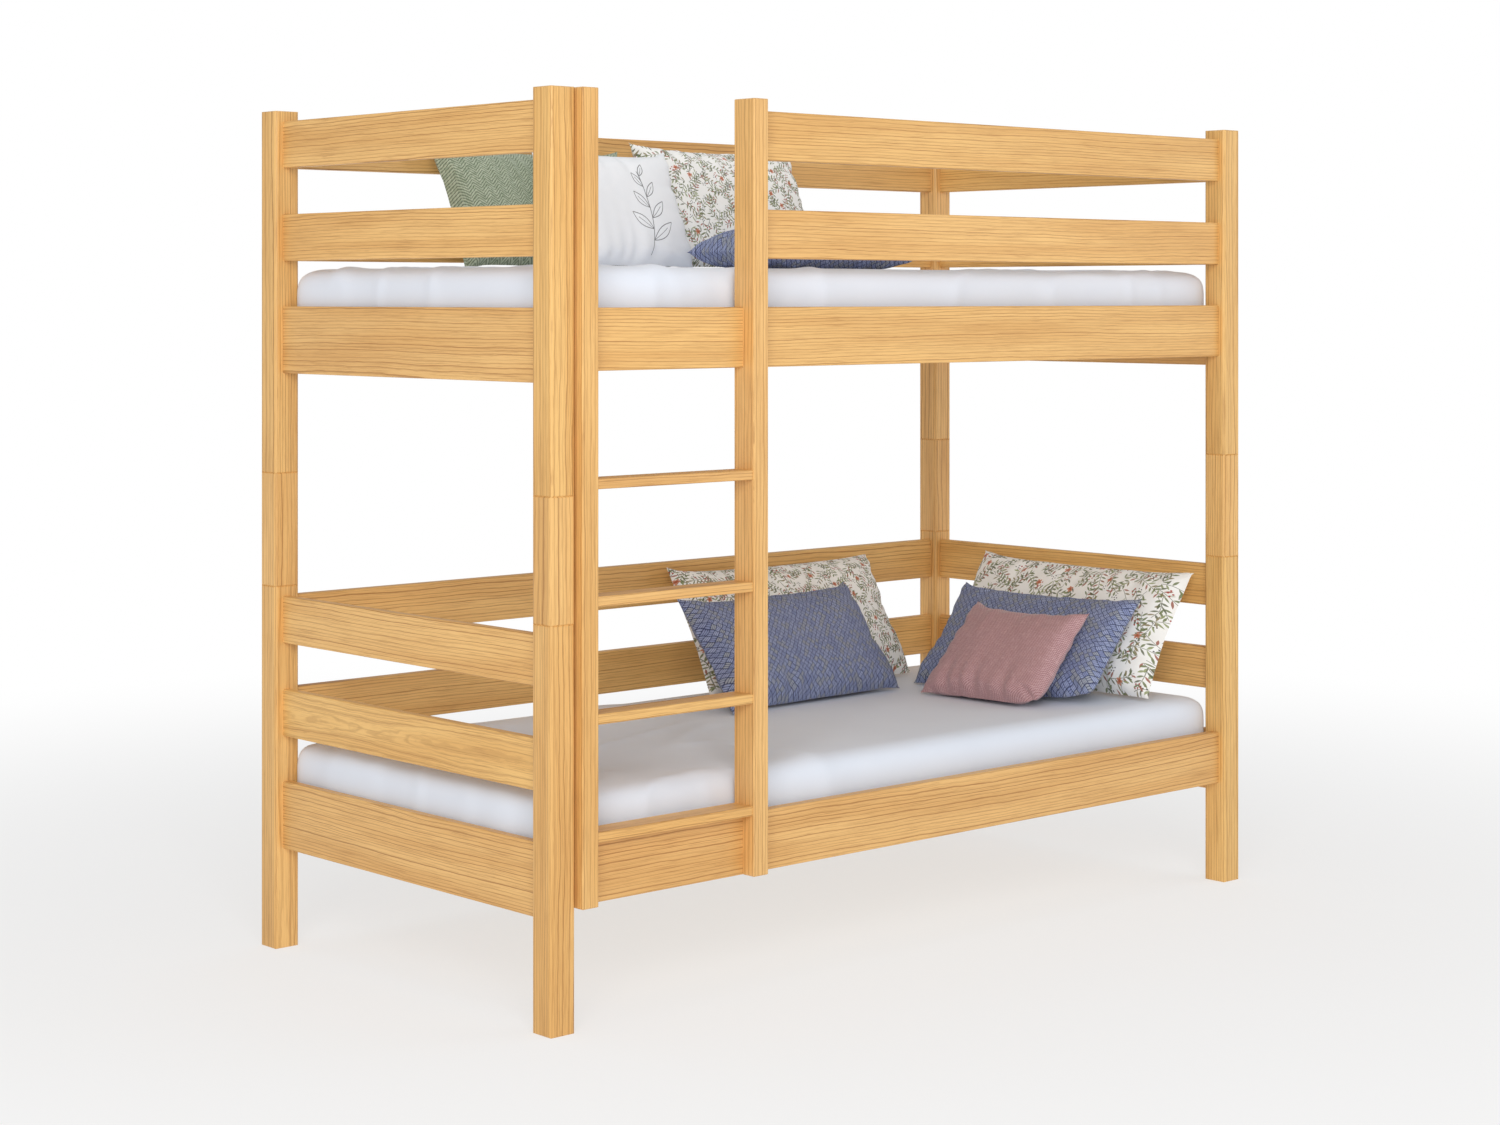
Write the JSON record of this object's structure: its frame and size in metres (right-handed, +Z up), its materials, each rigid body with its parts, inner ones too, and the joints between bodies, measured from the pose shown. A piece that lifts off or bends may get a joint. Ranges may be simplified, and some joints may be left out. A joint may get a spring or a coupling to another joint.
{
  "type": "bunk bed with ladder",
  "caption": "Solid wood bunk bed with a fixed front ladder, slatted bases, mattresses and loose pillows, for two sleepers one above the other.",
  "frame": {"origin": "on the floor at the centre of the whole object's box", "axes": "+X along the bed, ladder at the -X end; -Y towards the ladder side; +Z up"},
  "size_m": [2.1, 1.032, 1.8],
  "materials": {
    "pine": "clear satin varnish over honey-coloured pine, grain along each piece",
    "slat_wood": "planed, unvarnished pine",
    "sheet_cotton": "smooth white cotton sheet",
    "floral_cotton": "printed cotton, small sprigs on off-white",
    "blue_weave": "coarse basket weave, slate blue",
    "pink_weave": "fine weave, dusty pink",
    "green_weave": "coarse herringbone weave, sage green",
    "white_cotton": "smooth white cotton with a thin line drawing",
    "steel": "bright zinc plate",
    "beech": "fluted beech, glued",
    "brass_plated": "yellow zinc plate"
  },
  "bodies": {
    "frame": {"lower_post_front_left": "pine", "lower_post_front_right": "pine", "lower_post_back_left": "pine", "lower_post_back_right": "pine", "spacer_post_front_left": "pine", "spacer_post_front_right": "pine", "spacer_post_back_left": "pine", "spacer_post_back_right": "pine", "upper_post_front_left": "pine", "upper_post_front_right": "pine", "upper_post_back_left": "pine", "upper_post_back_right": "pine", "lower_front_side_board": "pine", "lower_back_side_board": "pine", "upper_front_side_board": "pine", "upper_back_side_board": "pine", "lower_left_end_board": "pine", "lower_right_end_board": "pine", "upper_left_end_board": "pine", "upper_right_end_board": "pine", "lower_left_middle_rail": "pine", "lower_left_top_rail": "pine", "lower_right_middle_rail": "pine", "lower_right_top_rail": "pine", "upper_left_middle_rail": "pine", "upper_left_top_rail": "pine", "upper_right_middle_rail": "pine", "upper_right_top_rail": "pine", "lower_back_middle_rail": "pine", "lower_back_top_rail": "pine", "upper_back_middle_rail": "pine", "upper_back_top_rail": "pine", "upper_front_guard_middle_rail": "pine", "upper_front_guard_top_rail": "pine", "ladder_left_stile": "pine", "ladder_right_stile": "pine", "ladder_rung_1": "pine", "ladder_rung_2": "pine", "ladder_rung_3": "pine", "ladder_rung_4": "pine", "slat_cleats": "slat_wood", "lower_slats": "slat_wood", "upper_slats": "slat_wood", "post_pins": "steel", "rail_studs": "steel", "rail_washers": "steel", "rail_nuts": "steel", "wood_dowels": "beech", "wood_screws": "brass_plated"},
    "lower_mattress": {"lower_mattress": "sheet_cotton"},
    "upper_mattress": {"upper_mattress": "sheet_cotton"},
    "back_floral_pillow": {"back_floral_pillow": "floral_cotton"},
    "back_blue_pillow": {"back_blue_pillow": "blue_weave"},
    "end_floral_pillow": {"end_floral_pillow": "floral_cotton"},
    "end_blue_pillow": {"end_blue_pillow": "blue_weave"},
    "pink_pillow": {"pink_pillow": "pink_weave"},
    "green_pillow": {"green_pillow": "green_weave"},
    "upper_floral_pillow": {"upper_floral_pillow": "floral_cotton"},
    "white_pillow": {"white_pillow": "white_cotton"},
    "flat_blue_pillow": {"flat_blue_pillow": "blue_weave"}
  },
  "joints": [
    {"name": "lower_mattress_lift", "type": "slide", "parent": "frame", "child": "lower_mattress", "axis": [0, 0, 1], "range_m": [0, 0.12]},
    {"name": "back_floral_pillow_lift", "type": "slide", "parent": "lower_mattress", "child": "back_floral_pillow", "axis": [0, 0, 1], "range_m": [0, 0.1]},
    {"name": "back_blue_pillow_lift", "type": "slide", "parent": "back_floral_pillow", "child": "back_blue_pillow", "axis": [0, 0, 1], "range_m": [0, 0.1]},
    {"name": "end_floral_pillow_lift", "type": "slide", "parent": "lower_mattress", "child": "end_floral_pillow", "axis": [0, 0, 1], "range_m": [0, 0.1]},
    {"name": "end_blue_pillow_lift", "type": "slide", "parent": "end_floral_pillow", "child": "end_blue_pillow", "axis": [0, 0, 1], "range_m": [0, 0.1]},
    {"name": "pink_pillow_lift", "type": "slide", "parent": "end_blue_pillow", "child": "pink_pillow", "axis": [0, 0, 1], "range_m": [0, 0.1]},
    {"name": "upper_mattress_lift", "type": "slide", "parent": "frame", "child": "upper_mattress", "axis": [0, 0, 1], "range_m": [0, 0.15]},
    {"name": "green_pillow_lift", "type": "slide", "parent": "upper_mattress", "child": "green_pillow", "axis": [0, 0, 1], "range_m": [0, 0.35]},
    {"name": "upper_floral_pillow_lift", "type": "slide", "parent": "upper_mattress", "child": "upper_floral_pillow", "axis": [0, 0, 1], "range_m": [0, 0.1]},
    {"name": "white_pillow_lift", "type": "slide", "parent": "green_pillow", "child": "white_pillow", "axis": [0, 0, 1], "range_m": [0, 0.35]},
    {"name": "flat_blue_pillow_lift", "type": "slide", "parent": "upper_mattress", "child": "flat_blue_pillow", "axis": [0, 0, 1], "range_m": [0, 0.35]}
  ]
}
